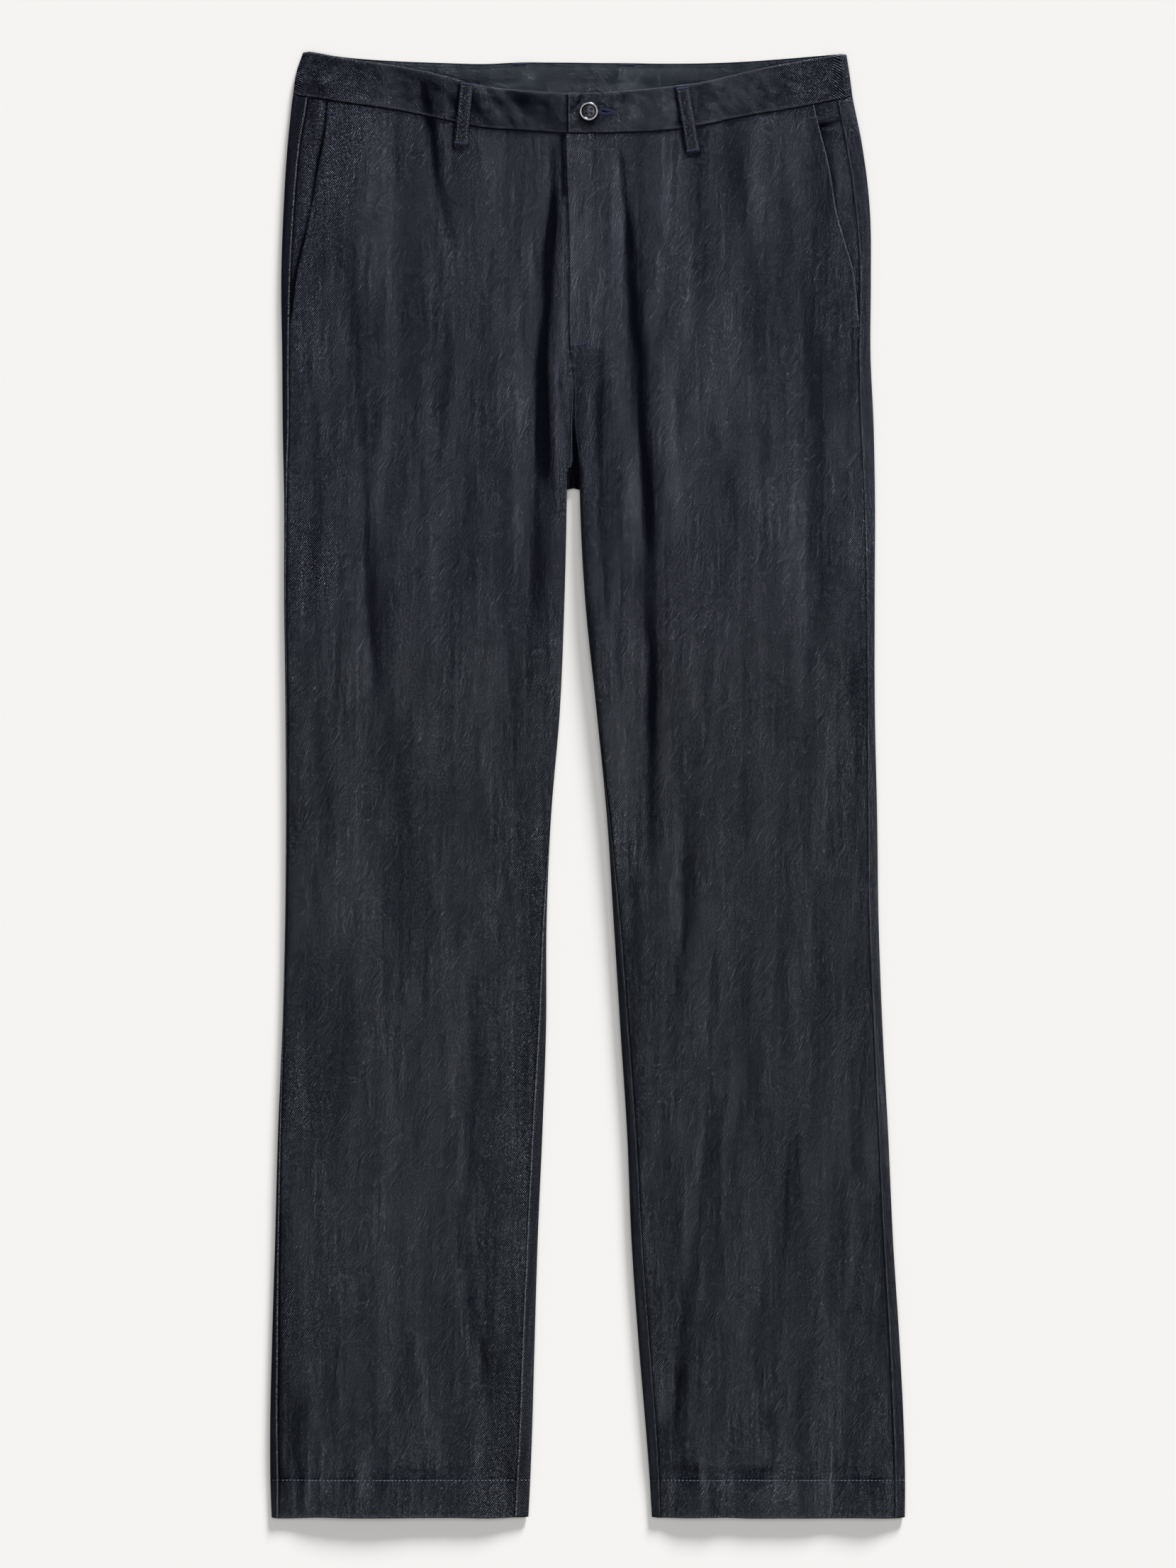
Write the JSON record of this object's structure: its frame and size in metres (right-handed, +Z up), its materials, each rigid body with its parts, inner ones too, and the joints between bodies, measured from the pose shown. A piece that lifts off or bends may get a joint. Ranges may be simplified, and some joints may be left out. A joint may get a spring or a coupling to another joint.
{
  "type": "straight-leg trousers",
  "caption": "Men's straight-leg denim trousers in dark indigo, buttoned and laid face up on a flat surface.",
  "frame": {"origin": "on the surface it rests on, at the middle of the laid garment's outline", "axes": "+X towards the wearer's left leg, +Y towards the waist, +Z up out of the surface"},
  "size_m": [0.4928, 1.1382, 0.0115],
  "materials": {
    "denim": "dark indigo right-hand twill with pale flecks",
    "denim_inside": "the same twill, cut crosswise, a little lighter",
    "button_plastic": "polished dark resin"
  },
  "bodies": {
    "root": {"front_panel_right": "denim", "front_panel_left": "denim", "back_panel_right": "denim", "back_panel_left": "denim", "waistband": "denim", "waistband_facing": "denim_inside", "pocket_facing_right": "denim", "pocket_facing_left": "denim", "belt_loop_front_right": "denim", "belt_loop_front_left": "denim", "belt_loop_back_right": "denim", "belt_loop_back_left": "denim", "button": "button_plastic"}
  },
  "joints": []
}
